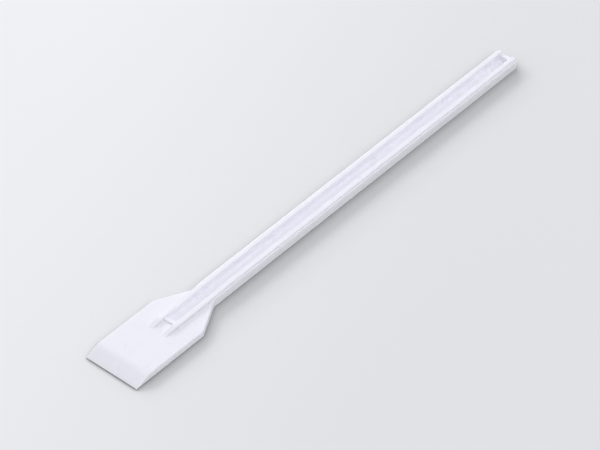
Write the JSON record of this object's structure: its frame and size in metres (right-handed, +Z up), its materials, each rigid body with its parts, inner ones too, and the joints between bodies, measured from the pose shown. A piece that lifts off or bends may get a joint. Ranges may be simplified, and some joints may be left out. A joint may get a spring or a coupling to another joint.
{
  "type": "cell scraper",
  "caption": "Flat one-piece plastic cell scraper: a wide bevelled blade on a long handle with a channel between two raised rails.",
  "frame": {"origin": "middle of the object's bounding box in plan, on the flat underside", "axes": "+X from the scraping edge along the handle to its free end, +Y across the blade, +Z up from the flat underside to the side with the rails"},
  "size_m": [0.18, 0.0194, 0.0035],
  "materials": {
    "white_plastic": "satin white polyethylene"
  },
  "bodies": {
    "root": {"cell_scraper": "white_plastic"}
  },
  "joints": []
}
